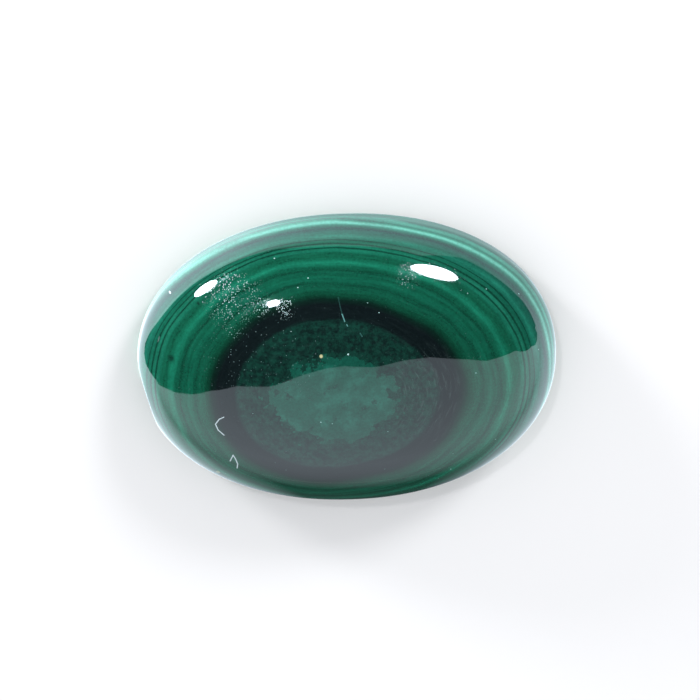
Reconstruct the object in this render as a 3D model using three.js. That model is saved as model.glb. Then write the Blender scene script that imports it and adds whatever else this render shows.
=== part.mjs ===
// Oval malachite cabochon: one banded green stone, cut with a domed and polished face,
// a thin upright girdle and a flat back that it lies on.
// Millimetres, +Z up. The origin is the middle of the flat back, +X runs along the long
// axis and +Z rises through the dome.

import * as THREE from 'three';

const stoneLength = 25.3;
const stoneWidth = 17.84;
const stoneHeight = 6.6;
// Power of the superellipse that outlines the stone: 2 is an ellipse, more is fuller.
const outlinePower = 2.13;
const girdleHeight = 1.1;
// The edge of the back is eased by this much height and this share of the outline's reach.
const easedHeight = 0.4;
const easedShare = 0.03;
// One end of the girdle has a short flat, this far from the stone's middle at this bearing.
const flatReach = 12.2;
const flatBearing = THREE.MathUtils.degToRad(196.7);

const columns = 96;
const domeRings = 20;

// Distance from the middle to the outline along a bearing, at full girdle.
function outlineReach(bearing) {
  const along = Math.abs(Math.cos(bearing)) / (stoneLength / 2);
  const across = Math.abs(Math.sin(bearing)) / (stoneWidth / 2);
  return (along ** outlinePower + across ** outlinePower) ** (-1 / outlinePower);
}

// Section from the middle of the back to the top of the dome. The first coordinate is a
// share of the outline's reach and the second is the height in millimetres. The dome is a
// quarter of an ellipse that leaves the girdle upright and is level at the top.
function sectionPoints() {
  const points = [
    new THREE.Vector2(0, 0),
    new THREE.Vector2(1 - easedShare, 0),
    new THREE.Vector2(1, easedHeight),
  ];
  const rise = stoneHeight - girdleHeight;
  for (let ring = 0; ring < domeRings; ring += 1) {
    const climb = (ring / domeRings) * (Math.PI / 2);
    points.push(new THREE.Vector2(Math.cos(climb), girdleHeight + rise * Math.sin(climb)));
  }
  points.push(new THREE.Vector2(0, stoneHeight));
  return points;
}

// A round body with the section's heights, stretched sideways to the outline.
function stoneGeometry() {
  const geometry = new THREE.LatheGeometry(sectionPoints(), columns);
  geometry.rotateX(Math.PI / 2);
  const positions = geometry.attributes.position;
  for (let i = 0; i < positions.count; i += 1) {
    const bearing = Math.atan2(positions.getY(i), positions.getX(i));
    const reach = outlineReach(bearing);
    positions.setX(i, positions.getX(i) * reach);
    positions.setY(i, positions.getY(i) * reach);
  }
  grindFlat(positions);
  geometry.computeVertexNormals();
  return geometry;
}

// Points outside the girdle's flat are moved straight back onto it.
function grindFlat(positions) {
  const facing = new THREE.Vector3(Math.cos(flatBearing), Math.sin(flatBearing), 0);
  const point = new THREE.Vector3();
  for (let i = 0; i < positions.count; i += 1) {
    point.fromBufferAttribute(positions, i);
    const excess = Math.max(point.dot(facing) - flatReach, 0);
    point.addScaledVector(facing, -excess);
    positions.setXYZ(i, point.x, point.y, point.z);
  }
}

const malachite = new THREE.MeshStandardMaterial({
  color: 0x15634a,
  roughness: 0.12,
  metalness: 0,
});

const stone = new THREE.Mesh(stoneGeometry(), malachite);
stone.name = 'cabochon';

const specimen = new THREE.Group();
specimen.add(stone);

export default specimen;
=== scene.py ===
import math

import bpy
import numpy as np
from mathutils import Matrix, Vector


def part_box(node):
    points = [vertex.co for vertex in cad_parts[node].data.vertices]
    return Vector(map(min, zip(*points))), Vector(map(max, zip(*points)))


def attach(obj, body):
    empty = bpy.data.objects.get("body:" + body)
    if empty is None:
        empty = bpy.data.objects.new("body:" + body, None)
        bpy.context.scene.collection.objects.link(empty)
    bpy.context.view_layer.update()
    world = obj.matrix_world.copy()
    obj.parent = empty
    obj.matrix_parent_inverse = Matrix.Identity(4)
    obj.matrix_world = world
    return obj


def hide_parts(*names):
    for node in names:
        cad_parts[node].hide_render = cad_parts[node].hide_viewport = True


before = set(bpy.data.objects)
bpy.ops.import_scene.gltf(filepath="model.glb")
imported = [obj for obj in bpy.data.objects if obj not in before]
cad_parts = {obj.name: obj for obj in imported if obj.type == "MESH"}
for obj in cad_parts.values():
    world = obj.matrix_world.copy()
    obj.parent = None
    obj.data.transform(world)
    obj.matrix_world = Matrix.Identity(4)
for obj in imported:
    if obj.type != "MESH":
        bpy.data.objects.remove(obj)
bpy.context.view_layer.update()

# A polished oval malachite cabochon, lying on its flat back in a pale studio.
# The dictionaries are in millimetres and degrees, and the scene itself is in metres.

mm = 0.001
stoneLow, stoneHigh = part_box("cabochon")


# One shader output, with the operators that the patterns use. Each one adds a Math node.
class Wire:
    def __init__(self, socket):
        self.socket = socket
        self.tree = socket.id_data

    # Any node: its settings are set first, then its inputs by name or number.
    @staticmethod
    def node(tree, kind, settings, inputs, output=0):
        made = tree.nodes.new(kind)
        for name, value in settings.items():
            if name == "stops":
                setStops(made.color_ramp, value)
            else:
                setattr(made, name, value)
        for key, value in inputs.items():
            if isinstance(value, Wire):
                tree.links.new(value.socket, made.inputs[key])
            else:
                made.inputs[key].default_value = value
        return Wire(made.outputs[output])

    def math(self, operation, *others):
        values = dict(enumerate((self,) + others))
        return Wire.node(self.tree, "ShaderNodeMath", {"operation": operation}, values)

    def __add__(self, other):
        return self.math("ADD", other)

    def __radd__(self, other):
        return self.math("ADD", other)

    def __neg__(self):
        return self.math("MULTIPLY", -1.0)

    def __sub__(self, other):
        return self.math("SUBTRACT", other)

    def __rsub__(self, other):
        return Wire.node(self.tree, "ShaderNodeMath", {"operation": "SUBTRACT"}, {0: other, 1: self})

    def __mul__(self, other):
        return self.math("MULTIPLY", other)

    def __rmul__(self, other):
        return self.math("MULTIPLY", other)

    def __truediv__(self, other):
        return self.math("DIVIDE", other)

    def __rtruediv__(self, other):
        return Wire.node(self.tree, "ShaderNodeMath", {"operation": "DIVIDE"}, {0: other, 1: self})

    def __pow__(self, other):
        return self.math("POWER", other)

    # 0 below low, 1 above high, with a smooth step between; low may be the larger.
    def step(self, low, high):
        inputs = {"Value": self, "From Min": low, "From Max": high}
        return Wire.node(self.tree, "ShaderNodeMapRange", {"interpolation_type": "SMOOTHSTEP"}, inputs)


def setStops(ramp, stops):
    ramp.interpolation = "LINEAR"
    while len(ramp.elements) > 1:
        ramp.elements.remove(ramp.elements[-1])
    ramp.elements[0].position, ramp.elements[0].color = stops[0]
    for place, colour in stops[1:]:
        ramp.elements.new(place).color = colour


# A screen colour, 0 to 255, as the linear colour that the shaders take.
def paint(red, green, blue):
    parts = np.array([red, green, blue]) / 255
    linear = np.where(parts <= 0.04045, parts / 12.92, ((parts + 0.055) / 1.055) ** 2.4)
    return (*linear.tolist(), 1.0)


# Two colours mixed by a share. A Mix node takes colours at its inputs 6 and 7, and gives one at
# its output 2.
def mixed(share, first, second):
    inputs = {0: share, 6: first, 7: second}
    return Wire.node(share.tree, "ShaderNodeMix", {"data_type": "RGBA"}, inputs, 2)


# The largest or the least of several values.
def extreme(operation, values):
    found, *others = values
    for other in others:
        found = found.math(operation, other)
    return found


def newMaterial(name):
    material = bpy.data.materials.new(name)
    material.use_nodes = True
    material.node_tree.nodes.clear()
    return material, material.node_tree


def finishMaterial(tree, surface):
    output = tree.nodes.new("ShaderNodeOutputMaterial")
    tree.links.new(surface.socket, output.inputs["Surface"])


# Camera: above the stone, tipped back from straight down, as the photograph looks at it.

viewpoint = {
    "tip": 20.0,             # away from straight down, towards the far long side
    "turn": 6.0,             # round to the left end
    "roll": -0.96,
    "distance": 180.0,
    "aim": (0.0, 0.93, 2.16),
    "frameWidth": 41.92,     # what the frame spans at the aim
}


def makeCamera(spec):
    data = bpy.data.cameras.new("camera")
    data.lens = data.sensor_width * spec["distance"] / spec["frameWidth"]
    camera = bpy.data.objects.new("camera", data)
    bpy.context.scene.collection.objects.link(camera)
    tip, turn, roll = (math.radians(spec[key]) for key in ("tip", "turn", "roll"))
    back = Vector((-math.sin(turn) * math.cos(tip), math.sin(tip), math.cos(turn) * math.cos(tip)))
    up = Vector((0, 1, 0)) - back * back.y
    up.normalize()
    right = up.cross(back)
    rolledRight = right * math.cos(roll) - up * math.sin(roll)
    rolledUp = up * math.cos(roll) + right * math.sin(roll)
    turned = Matrix((rolledRight, rolledUp, back)).transposed().to_4x4()
    place = (Vector(spec["aim"]) + back * spec["distance"]) * mm
    camera.matrix_world = Matrix.Translation(place) @ turned
    bpy.context.scene.camera = camera


makeCamera(viewpoint)
print("camera set")


# Stone: the same oval, girdle and dome as the solid, on a fine grid. The edge of the back is
# rounded where the solid's is bevelled, and the corners of the flat are softened.

stone = {
    "halfLength": (stoneHigh.x - stoneLow.x) / 2 / mm,
    "halfWidth": (stoneHigh.y - stoneLow.y) / 2 / mm,
    "height": stoneHigh.z / mm,
    "outlinePower": 2.13,
    "girdle": 1.1,           # height of the upright edge
    "easedHeight": 0.4,      # where the back's edge is rounded off
    "easedShare": 0.03,
    "flatReach": 12.2,       # the short flat on one end of the girdle
    "flatBearing": 196.7,
    "flatSoftness": 0.05,
    "columns": 480,
    "domeRings": 150,
    "sideRings": 14,
    "easedRings": 8,
}


# Reach of the outline at a bearing b: (|cos b / halfLength|^n + |sin b / halfWidth|^n)^(-1/n).
def outlineReach(bearing, spec):
    power = spec["outlinePower"]
    along = np.abs(np.cos(bearing)) / spec["halfLength"]
    across = np.abs(np.sin(bearing)) / spec["halfWidth"]
    return (along ** power + across ** power) ** (-1 / power)


# Section from the edge of the back to near the top, as shares of the reach and heights:
# a quarter round at the back, an upright girdle, then height = girdle + rise * sin(climb)
# and share = cos(climb) over the dome.
def stoneSection(spec):
    quarter = np.linspace(0, np.pi / 2, spec["easedRings"] + 1)[:-1]
    easedShares = 1 - spec["easedShare"] * (1 - np.sin(quarter))
    easedHeights = spec["easedHeight"] * (1 - np.cos(quarter))
    sideHeights = np.linspace(spec["easedHeight"], spec["girdle"], spec["sideRings"])[:-1]
    climb = np.linspace(0, np.pi / 2, spec["domeRings"] + 1)[:-1]
    rise = spec["height"] - spec["girdle"]
    shares = np.concatenate([easedShares, np.ones(len(sideHeights)), np.cos(climb)])
    heights = np.concatenate([easedHeights, sideHeights, spec["girdle"] + rise * np.sin(climb)])
    return shares, heights


# Points past the flat are pulled back to it along its bearing, with a soft corner:
# excess = s * log(1 + exp(distance past the flat / s)).
def grindFlat(points, spec):
    bearing = math.radians(spec["flatBearing"])
    facing = np.array([math.cos(bearing), math.sin(bearing), 0.0])
    past = points @ facing - spec["flatReach"]
    softness = spec["flatSoftness"]
    excess = softness * np.logaddexp(0, past / softness)
    return points - excess[..., None] * facing


# Rings of quads, low to high, each anticlockwise from above, closed by a fan at either pole.
def closedFaces(rings, columns):
    index = np.arange(rings * columns).reshape(rings, columns)
    ahead = np.roll(index, -1, axis=1)
    quads = np.stack([index[:-1], ahead[:-1], ahead[1:], index[1:]], axis=-1).reshape(-1, 4)
    lowFan = np.stack([ahead[0], index[0], np.full(columns, rings * columns)], axis=-1)
    highFan = np.stack([index[-1], ahead[-1], np.full(columns, rings * columns + 1)], axis=-1)
    return quads.tolist() + lowFan.tolist() + highFan.tolist()


def meshObject(name, points, faces, smooth=True):
    mesh = bpy.data.meshes.new(name)
    mesh.from_pydata(points.tolist(), [], faces)
    mesh.polygons.foreach_set("use_smooth", np.full(len(faces), smooth))
    mesh.update()
    made = bpy.data.objects.new(name, mesh)
    bpy.context.scene.collection.objects.link(made)
    return made


def makeStone(spec):
    bearing = np.linspace(0, 2 * np.pi, spec["columns"], endpoint=False)
    shares, heights = stoneSection(spec)
    reach = outlineReach(bearing, spec)
    x = np.outer(shares, reach * np.cos(bearing))
    y = np.outer(shares, reach * np.sin(bearing))
    z = np.repeat(heights[:, None], spec["columns"], axis=1)
    rings = grindFlat(np.stack([x, y, z], axis=-1), spec)
    points = np.vstack([rings.reshape(-1, 3), [(0, 0, 0), (0, 0, spec["height"])]])
    return meshObject("polished_stone", points * mm, closedFaces(*x.shape))


# Bands of the stone. Each place is a ring number, counted in millimetres across the stone
# from the eye, the point that the rings grew round.

bands = {
    "eye": (-0.95, -0.45),
    "eyeReach": 0.05,        # nearer to the eye than this, bearings fade out
    "stretch": 1.30,         # the rings are this much longer than they are wide
    "lean": 0.085,           # and longer towards the right end
    "leanReach": 3.9,
    "fullReach": 8.0,        # the drifts below are for rings this far out
    "driftRight": (1.09, -0.57),
    "driftUp": (0.11, 0.17),
    "squeeze": 0.14,
    "toOutline": 0.51,       # how far the outer rings take on the stone's own outline
    "outlineRing": 9.4,      # the ring number of that outline
    "rimRings": (8.4, 9.3),  # from the one to the other, the rings crowd in on the far left side
    "rimCrowding": 0.26,
    "depthRings": 0.5,       # rings passed per millimetre below the top of the girdle
    "wobble": 0.10,          # how far the rings stray, in millimetres
    "fineWobble": 0.03,
    "strayFrom": (1.0, 5.0),      # they stray more and more between these ring numbers
    "steadyFrom": (7.0, 9.4),     # and between these they lose steadyShare of it
    "steadyShare": 0.88,
    "coreEdge": 2.65,        # the mid-green core ends here, in ragged patches
    "coreLean": 0.2,         # and this much further out on the near side
    "coreRagged": 1.25,
    "coreSoftness": 0.12,
    "coreLightFrom": (0.44, 0.66),    # clouds between these values turn to the core's light patches
    "coreDarkFrom": (0.58, 0.70),     # and blotches between these to its dark ones
    "coreDarkShare": 0.7,
    "speckleEdge": 4.66,     # the speckled ring ends here, at the black one
    "speckleRagged": 0.16,
    "speckleSoftness": 0.10,
    "speckleLightFrom": (0.36, 0.64),
    "speckleTone": 1.07,     # the speckled ring is this bright at the sides
    "speckleToNear": 0.14,   # and brighter by this much on the near side
    "rampSoftness": 0.01,    # the two ramps of the outer rings meet over this much either way
    "tint": (0.94, 0.68, 0.68),   # from the colours as seen to those of the stone itself
}

# Colours of the two mottled parts, and of the rings outside them from the black one outwards.
greens = {
    "core": (21, 88, 70),
    "coreLight": (30, 106, 86),
    "coreDark": (16, 52, 45),
    "speckle": (20, 67, 54),
    "speckleDark": (15, 39, 35),
    "streak": (120, 140, 130),
}

innerStops = [
    (4.6, (15, 29, 29)), (5.50, (14, 26, 27)), (5.80, (11, 40, 31)), (6.05, (12, 70, 49)),
    (6.25, (15, 84, 60)), (6.44, (17, 92, 67)), (6.63, (13, 78, 56)), (6.98, (18, 102, 75)),
    (7.10, (14, 88, 63)), (7.22, (17, 95, 70)), (7.39, (13, 77, 55)), (7.60, (17, 99, 72)),
    (7.77, (24, 126, 94)), (7.90, (19, 108, 79)), (8.04, (16, 91, 65)),
]

outerStops = [
    (8.04, (16, 91, 65)), (8.25, (18, 96, 70)), (8.36, (24, 116, 88)), (8.43, (25, 112, 84)),
    (8.47, (12, 70, 52)), (8.50, (14, 76, 56)), (8.55, (28, 120, 92)), (8.63, (24, 110, 83)),
    (8.67, (12, 70, 52)), (8.70, (14, 78, 57)), (8.75, (22, 104, 79)), (8.84, (19, 98, 74)),
    (8.87, (12, 70, 52)), (8.91, (22, 102, 79)), (9.03, (30, 122, 96)), (9.15, (26, 104, 82)),
    (9.25, (28, 98, 80)), (9.37, (30, 78, 68)), (9.45, (32, 104, 84)), (9.50, (44, 136, 110)),
    (9.535, (88, 188, 160)), (9.575, (92, 194, 166)), (9.61, (44, 142, 113)), (9.65, (24, 112, 88)),
    (9.70, (60, 166, 136)), (9.73, (54, 156, 128)), (9.76, (24, 104, 81)), (9.82, (40, 142, 113)),
    (9.90, (22, 96, 74)), (10.02, (40, 138, 110)), (10.3, (22, 94, 72)), (11.0, (34, 124, 98)),
]


# Ring number at a point: the distance from the eye, stretched along X, plus drifts that grow
# outwards and carry the rings to the right and into the stone's own outline. Near the rim it
# also rises by rimCrowding * left * up, where both are above 0.
def ringNumber(x, y, z, spec):
    across = x - spec["eye"][0]
    upward = y - spec["eye"][1]
    lean = (across / spec["leanReach"]).math("TANH")
    across = across / ((lean * spec["lean"] + 1) * spec["stretch"])
    distance = (across * across + upward * upward).math("SQRT")
    safe = distance.math("MAXIMUM", spec["eyeReach"])
    right = across / safe
    up = upward / safe
    out = distance / spec["fullReach"]
    cubed = out * out * out
    drift = right * (out * spec["driftRight"][0] + cubed * spec["driftRight"][1])
    drift = drift + up * (out * spec["driftUp"][0] + cubed * spec["driftUp"][1])
    drift = drift + (right * right - up * up) * out * spec["squeeze"]
    power = stone["outlinePower"]
    along = (x / stone["halfLength"]).math("ABSOLUTE") ** power
    wide = (y / stone["halfWidth"]).math("ABSOLUTE") ** power
    outline = (along + wide) ** (1 / power) * spec["outlineRing"]
    drift = drift + (outline - distance) * cubed * out * spec["toOutline"]
    below = (stone["girdle"] - z).math("MAXIMUM", 0.0)
    ring = distance + drift + below * spec["depthRings"]
    farLeft = (-right).math("MAXIMUM", 0.0) * up.math("MAXIMUM", 0.0)
    return ring + farLeft * ring.step(*spec["rimRings"]) * spec["rimCrowding"], right, up


# Noise patterns: scale in a millimetre, detail and roughness. The streaks and fibres have a scale
# of 1 because their grids, in texture, set how often they change.
patterns = {
    "slow": (0.28, 1.0, 0.5),
    "fine": (1.6, 2.0, 0.5),
    "cloud": (0.9, 3.0, 0.55),
    "blotch": (1.5, 5.0, 0.62),
    "speck": (3.0, 5.0, 0.70),
    "streaks": (1.0, 4.0, 0.66),
    "fibres": (1.0, 3.0, 0.6),
    "grain": (7.0, 3.0, 0.75),
    "patches": (0.45, 2.0, 0.5),
    "smear": (0.8, 4.0, 0.6),
}


def noise(vector, name):
    scale, detail, roughness = patterns[name]
    inputs = {"Vector": vector, "Scale": scale, "Detail": detail, "Roughness": roughness}
    return Wire.node(vector.tree, "ShaderNodeTexNoise", {}, inputs)


def vectorOf(x, y, z):
    first = next(part for part in (x, y, z) if isinstance(part, Wire))
    return Wire.node(first.tree, "ShaderNodeCombineXYZ", {}, {0: x, 1: y, 2: z})


def vectorMath(tree, operation, inputs, output=0):
    return Wire.node(tree, "ShaderNodeVectorMath", {"operation": operation}, inputs, output)


# A stone colour, from the one seen in the photographed light.
def stonePaint(colour):
    seen = paint(*colour)
    return (*(part * tint for part, tint in zip(seen, bands["tint"])), 1.0)


# 0 inside an edge and 1 outside it, blurred by its softness either way.
def outside(ring, edge, softness):
    return ring.step(edge - softness, edge + softness)


# Two ramps that share the ring number where they meet.
def ringColours(ring):
    split = outerStops[0][0]
    halves = []
    for stops in (innerStops, outerStops):
        low, high = stops[0][0], stops[-1][0]
        painted = [((at - low) / (high - low), stonePaint(colour)) for at, colour in stops]
        share = (ring - low) / (high - low)
        halves.append(Wire.node(ring.tree, "ShaderNodeValToRGB", {"stops": painted}, {0: share}))
    return mixed(outside(ring, split, bands["rampSoftness"]), *halves)


# Every colour multiplied by a tone, 1 for no change.
def toned(colour, tone):
    grey = vectorOf(tone, tone, tone)
    return vectorMath(tone.tree, "MULTIPLY", {0: colour, 1: grey})


# Marks on the polish, and painted glints. Places are in millimetres, seen from above.
marks = {
    # strength, width and colour of each bit of lint and each scratch, and the points on it
    "threads": [
        (1.0, 0.045, (190, 196, 194),
         [(-7.75, -1.99), (-8.01, -2.16), (-8.22, -2.53), (-8.06, -2.92), (-7.71, -3.23)]),
        (1.0, 0.045, (190, 196, 194),
         [(-7.31, -5.15), (-7.15, -4.65), (-7.00, -4.94), (-6.86, -5.33), (-6.88, -5.68)]),
        (0.16, 0.045, (70, 130, 118), [(-1.09, 5.41), (-0.96, 4.80), (-0.88, 4.50)]),
        (0.7, 0.050, (96, 156, 146), [(-0.88, 4.50), (-0.74, 4.11)]),
        (0.6, 0.045, (96, 156, 146), [(-0.62, 3.92), (-0.58, 3.85)]),
        (0.4, 0.045, (70, 130, 118), [(0.16, 3.42), (0.27, 3.25)]),
    ],
    # centre, radius and colour of each speck on the polish, and of each dark spot in the stone
    "specks": [
        ((-2.13, 2.11), 0.13, (190, 176, 122)),
        ((-7.95, -6.37), 0.16, (150, 158, 130)),
        ((-0.55, 2.22), 0.07, (170, 200, 190)),
        ((-10.75, 4.74), 0.07, (214, 226, 222)),
    ],
    "spots": [
        ((11.23, -3.47), 0.09, (20, 24, 24)),
        ((-10.77, 1.27), 0.32, (13, 58, 44)),
        ((-9.17, 4.62), 0.16, (13, 58, 44)),
    ],
    # share of a thread's width and of a speck's radius inside which it has its full colour
    "threadCore": 0.4,
    "speckCore": 0.5,
    # dots of dust, grit and painted glints: grid cells in a millimetre, share with a dot, its radius
    "dust": {"perMillimetre": 1.5, "share": 0.30, "radius": 0.038},
    "fineDust": {"perMillimetre": 7.0, "share": 0.42, "radius": 0.026},
    "grit": {"perMillimetre": 12.0, "share": 0.6, "radius": 0.026},
    # painted glints: pale dots in the colour that stand in for the lamps sparkling on the grit
    "paintedGlints": {"perMillimetre": 11.0, "share": 0.80, "radius": 0.030},
    "dustColour": (150, 186, 176),
    "fineDustColour": (104, 132, 126),
    # the pale colour of the painted glints
    "paintedGlintColour": (196, 228, 218),
    # strength of the fine dust all over and what the dusty places add to it, and of the painted glints
    "fineDustBase": 0.15,
    "fineDustAdded": 0.55,
    "paintedGlintStrength": 0.7,
    # where the polish is dusty, and where it has grit and painted glints: centre and radius
    "dusty": [((-6.6, 2.4), 4.2), ((-3.6, 1.6), 3.2)],
    "gritAndGlintPlaces": [
        ((-7.1, 5.75), 1.2),
        ((-6.3, 5.7), 1.1),
        ((-7.4, 4.6), 1.7),
        ((-5.6, 4.8), 0.8),
        ((-4.2, 4.7), 0.75),
        ((-7.2, 3.25), 0.6),
        ((3.1, 6.4), 0.9),
    ],
    "gritHeight": 0.002,
    "markHeight": 0.01,      # everything else on the polish stands up by this much
}


# Distance in plan to a chain of points: the least of the distances to its stretches, where a
# stretch from a to a + s is nearest at a + s * clamp((p - a) . s / s . s).
def distanceToChain(plan, chain):
    tree = plan.tree
    distances = []
    for first, second in zip(chain, chain[1:]):
        start = Vector((*first, 0))
        stretch = Vector((*second, 0)) - start
        offset = vectorMath(tree, "SUBTRACT", {0: plan, 1: start})
        share = vectorMath(tree, "DOT_PRODUCT", {0: offset, 1: stretch / stretch.length_squared}, 1)
        share = share.math("MAXIMUM", 0.0).math("MINIMUM", 1.0)
        along = vectorMath(tree, "SCALE", {0: stretch, "Scale": share})
        distances.append(vectorMath(tree, "DISTANCE", {0: offset, 1: along}, 1))
    return extreme("MINIMUM", distances)


def distanceToPoint(plan, point):
    return vectorMath(plan.tree, "DISTANCE", {0: plan, 1: (*point, 0)}, 1)


# Dots at the feature points of some of the cells of a grid in space. A cell's weight, 0 to 1, makes
# its dot 0.5 to 1.5 times the radius and 0.3 to 1 strong, and the dot fades from 0.4 of its radius.
def dotMask(place, spec):
    settings = {"feature": "F1"}
    inputs = {"Vector": place, "Scale": spec["perMillimetre"]}
    distance = Wire.node(place.tree, "ShaderNodeTexVoronoi", settings, inputs, "Distance")
    chance = Wire.node(place.tree, "ShaderNodeTexVoronoi", settings, inputs, "Color")
    present, weight = (Wire.node(place.tree, "ShaderNodeSeparateXYZ", {}, {0: chance}, part)
                       for part in range(2))
    radius = (weight + 0.5) * (spec["radius"] * spec["perMillimetre"])
    dots = (distance / radius).step(1.0, 0.4)
    return dots * present.step(1 - spec["share"], 1.01 - spec["share"]) * (weight * 0.7 + 0.3)


# Share of dust, or of grit and painted glints: 1 at the middle of each place, 0 at its radius.
def placesMask(plan, places):
    return extreme("MAXIMUM", [distanceToPoint(plan, centre).step(radius, 0.0)
                               for centre, radius in places])


# The dark spots in the stone, then everything that lies on the polish and the painted glints
# near the highlights, painted over it, and how matt all that is.
def addMarks(colour, place, plan, spec):
    for centre, radius, spotColour in spec["spots"]:
        spot = distanceToPoint(plan, centre).step(radius, 0.0)
        colour = mixed(spot, colour, stonePaint(spotColour))
    dustiness = placesMask(plan, spec["dusty"]) * spec["fineDustAdded"] + spec["fineDustBase"]
    fineDust = dotMask(place, spec["fineDust"]) * dustiness
    # painted glints: pale dots that stand in for the lamps' sparkle beside the highlights
    paintedGlints = dotMask(place, spec["paintedGlints"]) * placesMask(plan, spec["gritAndGlintPlaces"]) * spec["paintedGlintStrength"]
    layers = [(dotMask(place, spec["dust"]), spec["dustColour"]), (fineDust, spec["fineDustColour"]),
              (paintedGlints, spec["paintedGlintColour"])]
    for strength, width, threadColour, chain in spec["threads"]:
        thread = distanceToChain(plan, chain).step(width, width * spec["threadCore"]) * strength
        layers.append((thread, threadColour))
    for centre, radius, speckColour in spec["specks"]:
        speck = distanceToPoint(plan, centre).step(radius, radius * spec["speckCore"])
        layers.append((speck, speckColour))
    for mask, paintColour in layers:
        colour = mixed(mask, colour, paint(*paintColour))
    return colour, extreme("MAXIMUM", [mask for mask, paintColour in layers])


# How the patterns show in the stone. A pair called From gives the ring numbers between which one
# comes in.
texture = {
    "streaksGrid": (4, 8),   # changes round the eye, and changes in each ring number outwards
    "fibresGrid": (34, 1.2),
    "ringStreaks": 0.8,      # strength in the outer rings
    "ringStreaksFrom": (5.4, 6.4),
    "speckleStreaks": 0.4,   # and in the speckled ring
    "speckleStreaksFrom": (2.6, 3.4),
    "fibres": 0.25,
    "fibresFrom": (4.4, 5.6),
    "grain": 1.1,
    "patches": 0.3,
    "paleStreaks": (0.0, 0.24),   # streaks between these values turn pale
    "paleFrom": (2.2, 3.4),
    "paleUntil": (6.0, 5.2),
    "paleShare": 0.02,       # all round
    "paleAtRight": 0.14,     # and this much more at the right end, by the bearing's part along X
    "rightEnd": (0.65, 1.0),
}

# Gloss of the polish, where it is clean, smeared and marked.
polish = {
    "ior": 1.8,
    "roughness": 0.03,
    "smearFrom": (0.45, 0.75),
    "smearRoughness": 0.025,
    "markRoughness": 0.4,
}


# The rings stray a little, and less towards the edge of the stone. A pattern mostly stays within
# a quarter or a half of its middle, which the 4 and the 2 make up for.
def strayingRing(place, plainRing):
    slow = noise(place, "slow") - 0.5
    fine = noise(place, "fine") - 0.5
    wobble = slow * (4 * bands["wobble"]) + fine * (2 * bands["fineWobble"])
    steadied = 1 - plainRing.step(*bands["steadyFrom"]) * bands["steadyShare"]
    return plainRing + wobble * plainRing.step(*bands["strayFrom"]) * steadied


# Mottled core and speckled ring, which grow into each other in ragged patches, and the rings
# outside them.
def bandColours(place, ring, up):
    cloud = noise(place, "cloud")
    blotch = noise(place, "blotch")
    speck = noise(place, "speck")
    light = cloud.step(*bands["coreLightFrom"])
    dark = blotch.step(*bands["coreDarkFrom"]) * bands["coreDarkShare"]
    core = mixed(light, stonePaint(greens["core"]), stonePaint(greens["coreLight"]))
    core = mixed(dark, core, stonePaint(greens["coreDark"]))
    speckle = mixed(speck.step(*bands["speckleLightFrom"]), stonePaint(greens["speckleDark"]),
                    stonePaint(greens["speckle"]))
    speckle = toned(speckle, bands["speckleTone"] - up * bands["speckleToNear"])
    rag = (blotch + cloud - 1) * (2 * bands["coreRagged"]) + up * bands["coreLean"]
    inside = mixed(outside(ring + rag, bands["coreEdge"], bands["coreSoftness"]), core, speckle)
    rag = (speck - 0.5) * (4 * bands["speckleRagged"])
    beyond = outside(ring + rag, bands["speckleEdge"], bands["speckleSoftness"])
    return mixed(beyond, inside, ringColours(ring))


# Noise drawn out along the rings or across them, by its grid.
def ringNoise(right, up, ring, name):
    around, outwards = texture[name + "Grid"]
    return noise(vectorOf(right * around, up * around, ring * outwards), name) - 0.5


# Streaks along the rings, faint fibres across them, a fine grain and broad patches.
def stoneTone(place, ring, streaks, fibres):
    grain = noise(place, "grain") - 0.5
    patches = noise(place, "patches") - 0.5
    inRings = ring.step(*texture["ringStreaksFrom"]) * texture["ringStreaks"]
    inSpeckle = ring.step(*texture["speckleStreaksFrom"]) * texture["speckleStreaks"]
    tone = 1 + streaks * (inRings + inSpeckle)
    tone = tone + fibres * ring.step(*texture["fibresFrom"]) * texture["fibres"]
    return tone + grain * texture["grain"] + patches * texture["patches"]


# Pale streaks in the dark rings, mostly at the right end.
def addPaleStreaks(colour, right, ring, streaks):
    pale = streaks.step(*texture["paleStreaks"]) * ring.step(*texture["paleFrom"])
    pale = pale * ring.step(*texture["paleUntil"])
    share = right.step(*texture["rightEnd"]) * texture["paleAtRight"] + texture["paleShare"]
    return mixed(pale * share, colour, paint(*greens["streak"]))


def makeMalachite():
    material, tree = newMaterial("malachite")
    place = Wire.node(tree, "ShaderNodeTexCoord", {}, {}, "Object")
    millimetres = {"Vector": place, "Scale": (1 / mm, 1 / mm, 1 / mm)}
    place = Wire.node(tree, "ShaderNodeMapping", {}, millimetres)
    x, y, z = (Wire.node(tree, "ShaderNodeSeparateXYZ", {}, {0: place}, part) for part in range(3))
    plan = vectorOf(x, y, 0.0)
    plainRing, right, up = ringNumber(x, y, z, bands)
    ring = strayingRing(place, plainRing)
    streaks = ringNoise(right, up, ring, "streaks")
    fibres = ringNoise(right, up, ring, "fibres")

    colour = toned(bandColours(place, ring, up), stoneTone(place, ring, streaks, fibres))
    colour = addPaleStreaks(colour, right, ring, streaks)
    colour, matt = addMarks(colour, place, plan, marks)
    smear = noise(place, "smear").step(*polish["smearFrom"])
    roughness = smear * polish["smearRoughness"] + polish["roughness"]
    roughness = roughness + matt * polish["markRoughness"]

    grit = dotMask(place, marks["grit"]) * placesMask(plan, marks["gritAndGlintPlaces"])
    normal = Wire.node(tree, "ShaderNodeBump", {}, {
        "Strength": 1.0,
        "Distance": mm,
        "Height": grit * marks["gritHeight"] + matt * marks["markHeight"],
    })
    surface = Wire.node(tree, "ShaderNodeBsdfPrincipled", {}, {
        "Base Color": colour,
        "Roughness": roughness,
        "IOR": polish["ior"],
        "Normal": normal,
    })
    finishMaterial(tree, surface)
    return material


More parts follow.
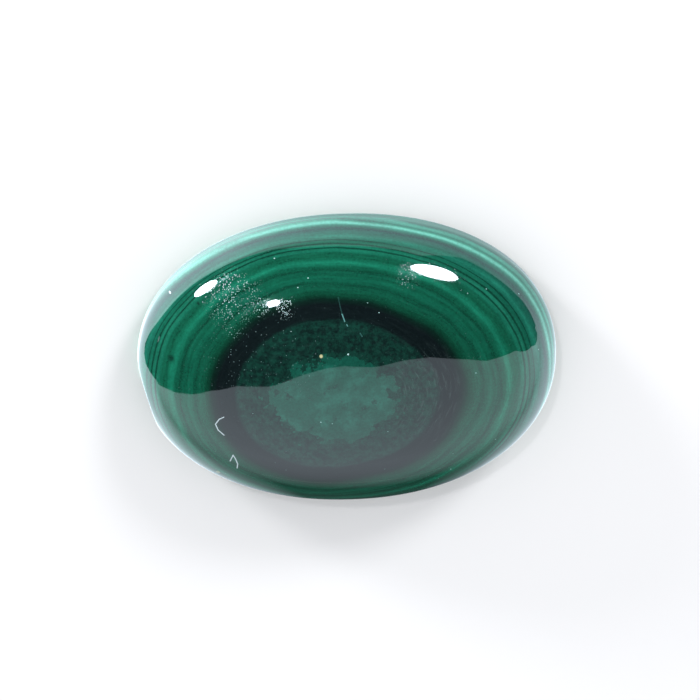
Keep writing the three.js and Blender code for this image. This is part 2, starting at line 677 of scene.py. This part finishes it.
polishedStone = makeStone(stone)
polishedStone.data.materials.append(makeMalachite())
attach(polishedStone, "root")
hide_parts("cabochon")
print("stone built")


# Studio: a pale floor and sky and three oval lamps, and, for the stone's reflections, a lit disc
# on the floor and two dark cloths, one hung over the stone and one laid beside it.

studio = {
    "floorHalf": 1500.0,
    "floorColour": (0.92, 0.81, 0.74, 1.0),
    "floorRoughness": 0.6,
    "tint": (1.0, 1.14, 1.28),
    # brightness of the sky at the sine of its height: dimmer low down and overhead
    "skyStops": [(0.0, 0.45), (0.12, 0.66), (0.24, 0.82), (0.36, 0.93), (0.6, 0.88), (0.8, 0.74),
                 (0.93, 0.66), (1.0, 0.5)],
    "skyToLeft": 0.1,        # the left half is brighter by this share, the right half dimmer
    "skyFarSide": 0.3,       # and the far side is dimmer by up to this share
    "skyLowEnds": 2.0,       # low down it is brighter by up to this share at the left and right
    "skyLowHeight": 0.4,     # sine of the height where that ends
    "lampDistance": 500.0,
    # bearing and height of each lamp seen from the stone, its apparent width, its apparent height
    # and its brightness
    "lamps": {
        "leftLamp": (139.0, 12.7, 13.4, 10.6, 70.0),
        "rightLamp": (57.0, 28.0, 17.0, 12.4, 33.0),
        "farLamp": (122.0, 55.2, 4.6, 3.9, 110.0),
    },
    # brightness of the table as the stone reflects it, by bearing: bright at the left end and
    # dark in front. Further out it blends into the brightness of the sky low down.
    "tableStops": [(0, 1.5), (12, 1.0), (25, 0.72), (45, 0.66), (80, 0.8), (98, 0.9), (114, 1.2),
                   (132, 1.9), (158, 2.1), (205, 2.1), (218, 1.4), (230, 0.95), (243, 0.5),
                   (257, 0.06), (296, 0.04), (308, 0.3), (318, 0.85), (330, 1.2), (345, 1.6)],
    "tableEven": 0.45,
    "tableEvenFrom": 28.0,
    "tableRadius": 600.0,
    "tableSides": 64,
    "tableLift": 0.01,       # above the floor
}


def directionTo(bearing, height):
    bearing, height = math.radians(bearing), math.radians(height)
    return Vector((math.cos(bearing) * math.cos(height), math.sin(bearing) * math.cos(height),
                   math.sin(height)))


def makeFloor(spec):
    half = spec["floorHalf"]
    corners = np.array([(-half, -half, 0), (half, -half, 0), (half, half, 0), (-half, half, 0)])
    floor = meshObject("floor", corners * mm, [(0, 1, 2, 3)], smooth=False)
    material, tree = newMaterial("paleFloor")
    inputs = {"Base Color": spec["floorColour"], "Roughness": spec["floorRoughness"]}
    finishMaterial(tree, Wire.node(tree, "ShaderNodeBsdfPrincipled", {}, inputs))
    floor.data.materials.append(material)


# Ramp stops for a tinted brightness, and the strength that brings them back to its scale.
def tintedStops(stops, tint):
    strength = max(value for _, value in stops) * max(tint)
    painted = [(at, (*(value * part / strength for part in tint), 1.0)) for at, value in stops]
    return painted, strength


# Brightness of the sky by direction: more at the left, less at the far side, and more low down
# at both ends. The parts of the direction are along X and Y, and low is 1 at the horizon.
def skyShare(along, far, low, spec):
    ends = along * along
    share = (1 - along * spec["skyToLeft"]) * (1 - far.math("MAXIMUM", 0.0) * spec["skyFarSide"])
    return share * (1 + low * ends * ends * spec["skyLowEnds"])


# The table as the stone sees it: a disc that only its reflections and its shade show, lit by the
# bearing of each point, 0 to the right. Seen from below it isn't there.
def makeTableGlow(spec):
    around = np.linspace(0, 2 * np.pi, spec["tableSides"], endpoint=False)
    circle = np.stack([np.cos(around), np.sin(around), np.zeros_like(around)], axis=-1)
    edge = circle * spec["tableRadius"] + (0, 0, spec["tableLift"])
    disc = meshObject("tableGlow", edge * mm, [tuple(range(len(edge)))], smooth=False)
    material, tree = newMaterial("tableGlow")
    place = Wire.node(tree, "ShaderNodeTexCoord", {}, {}, "Object")
    x, y = (Wire.node(tree, "ShaderNodeSeparateXYZ", {}, {0: place}, part) for part in range(2))
    bearing = (-y).math("ARCTAN2", -x) / (2 * math.pi) + 0.5
    stops, strength = tintedStops([(at / 360, value) for at, value in spec["tableStops"]],
                                  spec["tint"])
    colour = Wire.node(tree, "ShaderNodeValToRGB", {"stops": stops}, {0: bearing})
    distance = vectorMath(tree, "LENGTH", {0: place}, 1).math("MAXIMUM", mm)
    near = (spec["tableEvenFrom"] * mm / distance).math("MINIMUM", 1.0)
    even = tuple(spec["tableEven"] * part / strength for part in spec["tint"])
    colour = mixed(near, toned(even, skyShare(x / distance, y / distance, 1.0, spec)), colour)
    glow = Wire.node(tree, "ShaderNodeEmission", {}, {"Color": colour, "Strength": strength})
    clear = Wire.node(tree, "ShaderNodeBsdfTransparent", {}, {})
    fromBelow = Wire.node(tree, "ShaderNodeNewGeometry", {}, {}, "Backfacing")
    finishMaterial(tree, Wire.node(tree, "ShaderNodeMixShader", {}, {0: fromBelow, 1: glow, 2: clear}))
    disc.visible_camera = False
    disc.visible_shadow = False
    disc.data.materials.append(material)


def makeLamps(spec):
    for name, (bearing, height, width, tall, brightness) in spec["lamps"].items():
        lamp = bpy.data.lights.new(name, "AREA")
        lamp.shape = "ELLIPSE"
        lamp.color = [part / max(spec["tint"]) for part in spec["tint"]]
        reach = 2 * spec["lampDistance"] * mm
        lamp.size = reach * math.tan(math.radians(width / 2))
        lamp.size_y = reach * math.tan(math.radians(tall / 2))
        # An oval of radiance L and area A shines with a power of pi * L * A.
        lamp.energy = math.pi * brightness * math.pi * lamp.size * lamp.size_y / 4
        holder = bpy.data.objects.new(name, lamp)
        toLamp = directionTo(bearing, height)
        holder.location = toLamp * spec["lampDistance"] * mm
        holder.rotation_mode = "QUATERNION"
        holder.rotation_quaternion = toLamp.to_track_quat("Z", "Y")
        holder.visible_camera = False
        bpy.context.scene.collection.objects.link(holder)


def makeSky(spec):
    world = bpy.data.worlds.new("paleSky")
    world.use_nodes = True
    tree = world.node_tree
    tree.nodes.clear()
    direction = Wire.node(tree, "ShaderNodeTexCoord", {}, {}, "Generated")
    along, far, height = (Wire.node(tree, "ShaderNodeSeparateXYZ", {}, {0: direction}, part)
                          for part in range(3))
    stops, brightest = tintedStops(spec["skyStops"], spec["tint"])
    colour = Wire.node(tree, "ShaderNodeValToRGB", {"stops": stops}, {0: height})
    low = (1 - height / spec["skyLowHeight"]).math("MAXIMUM", 0.0)
    strength = skyShare(along, far, low, spec) * brightest
    sky = Wire.node(tree, "ShaderNodeBackground", {}, {"Color": colour, "Strength": strength})
    output = tree.nodes.new("ShaderNodeOutputWorld")
    tree.links.new(sky.socket, output.inputs["Surface"])
    bpy.context.scene.world = world


# The cloth is a patch of a large sphere round the stone, a fan of strips round the long axis.
# At each place along that axis, from -1 at the left to 1 at the right, its two edges are given
# in degrees from the far horizon, over the top, to the near horizon.
cloth = {
    "radius": 620.0,         # behind the lamps
    "columns": 90,
    "rows": 30,
    "farEdge": [(-1.0, -2), (-0.31, -2), (-0.16, 4), (0.09, 7.5), (0.29, 11), (0.40, 15),
                (0.62, -1), (0.80, 3), (0.92, 4), (1.0, -4)],
    "nearEdge": [(-0.92, 180), (-0.89, 159), (-0.86, 148), (-0.77, 134), (-0.61, 119.5),
                 (-0.46, 112.5), (-0.27, 110), (-0.14, 103.5), (-0.03, 99.3), (0.05, 98),
                 (0.17, 99.2), (0.30, 96.8), (0.42, 96.7), (0.61, 101.6), (0.70, 105.5),
                 (0.88, 107), (0.97, 124), (0.995, 150)],
    "glow": (0.004, 0.005, 0.005, 1.0),
    # a second cloth lies on the table to the left; only reflections show it
    "tableEdge": [(-600, -250), (-25.2, -5), (-17.7, -1.5), (-16, -0.1), (-15.6, 1), (-17.1, 2.3),
                  (-21.5, 4.7), (-27, 9), (-30, 15), (-34.9, 33), (-37, 105), (-80, 620),
                  (-620, 620)],
    "tableHeight": 0.02,
}


# Point (a, b) of the cloth: along = sin(a), a from -90 to 90 degrees, and the turn round the
# axis runs evenly from the far edge to the near edge:
# radius * (along, sqrt(1 - along^2) * cos(turn), sqrt(1 - along^2) * sin(turn)).
def makeCloths(spec):
    along = np.sin(np.linspace(-np.pi / 2, np.pi / 2, spec["columns"] + 2)[1:-1])
    farTurn = np.radians(np.interp(along, *zip(*spec["farEdge"])))
    nearTurn = np.radians(np.interp(along, *zip(*spec["nearEdge"])))
    share = np.linspace(0, 1, spec["rows"])[:, None]
    turn = farTurn + (nearTurn - farTurn) * share
    circle = np.sqrt(1 - along ** 2)
    points = np.stack([np.broadcast_to(along, turn.shape), circle * np.cos(turn),
                       circle * np.sin(turn)], axis=-1)
    index = np.arange(turn.size).reshape(turn.shape)
    faces = np.stack([index[:-1, :-1], index[:-1, 1:], index[1:, 1:], index[1:, :-1]], axis=-1)
    hung = meshObject("hungCloth", points.reshape(-1, 3) * spec["radius"] * mm,
                      faces.reshape(-1, 4).tolist())
    corners = np.array([(x, y, spec["tableHeight"]) for x, y in spec["tableEdge"]])
    laid = meshObject("tableCloth", corners * mm, [tuple(range(len(corners)))], smooth=False)
    material, tree = newMaterial("blackCloth")
    inputs = {"Color": spec["glow"], "Strength": 1.0}
    finishMaterial(tree, Wire.node(tree, "ShaderNodeEmission", {}, inputs))
    for piece in (hung, laid):
        piece.visible_camera = False
        piece.visible_diffuse = False
        piece.visible_shadow = False
        piece.data.materials.append(material)


makeFloor(studio)
makeTableGlow(studio)
makeLamps(studio)
makeSky(studio)
makeCloths(cloth)
bpy.context.scene.view_settings.view_transform = "Standard"
print("studio lit")
